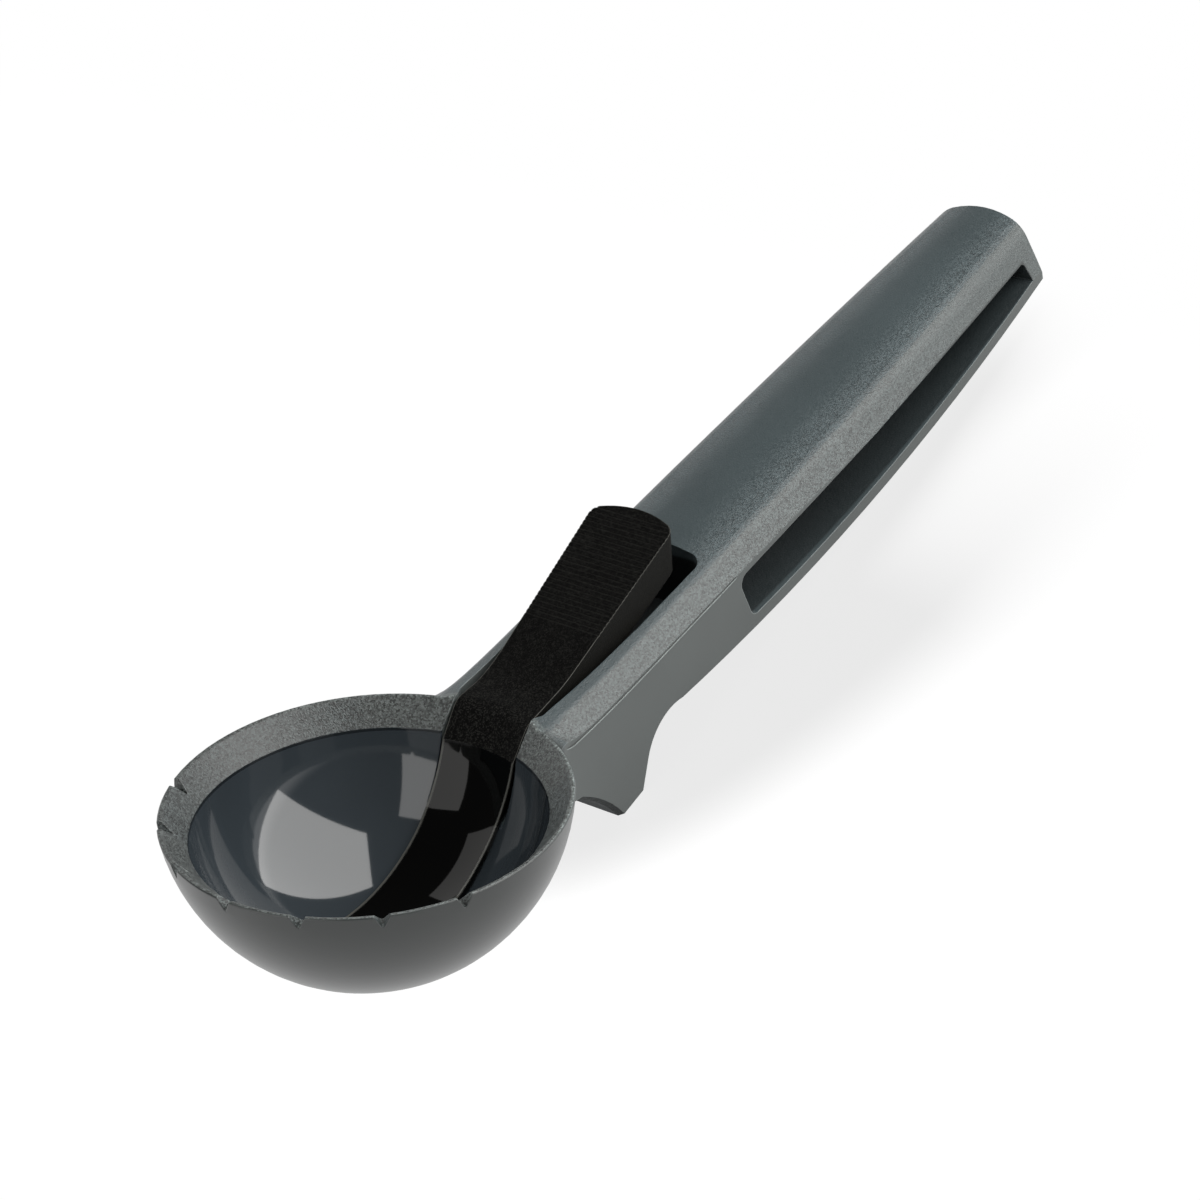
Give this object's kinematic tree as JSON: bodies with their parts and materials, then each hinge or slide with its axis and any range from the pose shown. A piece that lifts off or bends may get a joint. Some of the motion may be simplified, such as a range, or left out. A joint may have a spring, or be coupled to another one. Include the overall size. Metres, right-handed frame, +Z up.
{
  "type": "ice cream scoop",
  "caption": "Plastic ice cream scoop with a toothed round bowl, a long hollow handle, a finger stop and a sprung thumb lever whose arm sweeps the ball out of the bowl.",
  "frame": {"origin": "middle of the bounding box at floor level, where the scoop lies on its finger stop and the belly of its handle", "axes": "+X from the bowl towards the handle's end, +Z up, Y across the scoop with the middle plane at 0"},
  "size_m": [0.2225, 0.066, 0.0459],
  "materials": {
    "body_plastic": "finely textured dark grey nylon, polished inside the bowl",
    "lever_plastic": "finely textured black nylon, polished on the arm",
    "pin_steel": "bright drawn steel",
    "spring_steel": "bright spring wire"
  },
  "bodies": {
    "body": {"scoop_body": "body_plastic", "hinge_pin": "pin_steel", "return_spring": "spring_steel"},
    "lever": {"thumb_lever": "lever_plastic"}
  },
  "joints": [
    {"name": "lever_hinge", "type": "hinge", "parent": "body", "child": "lever", "pos_m": [-0.04471, 0, 0.02059], "axis": [0, 1, 0], "range_deg": [0, 12], "stiffness_Nm_per_rad": 0.6, "springref_deg": -20.05, "deforming": ["return_spring"]}
  ]
}
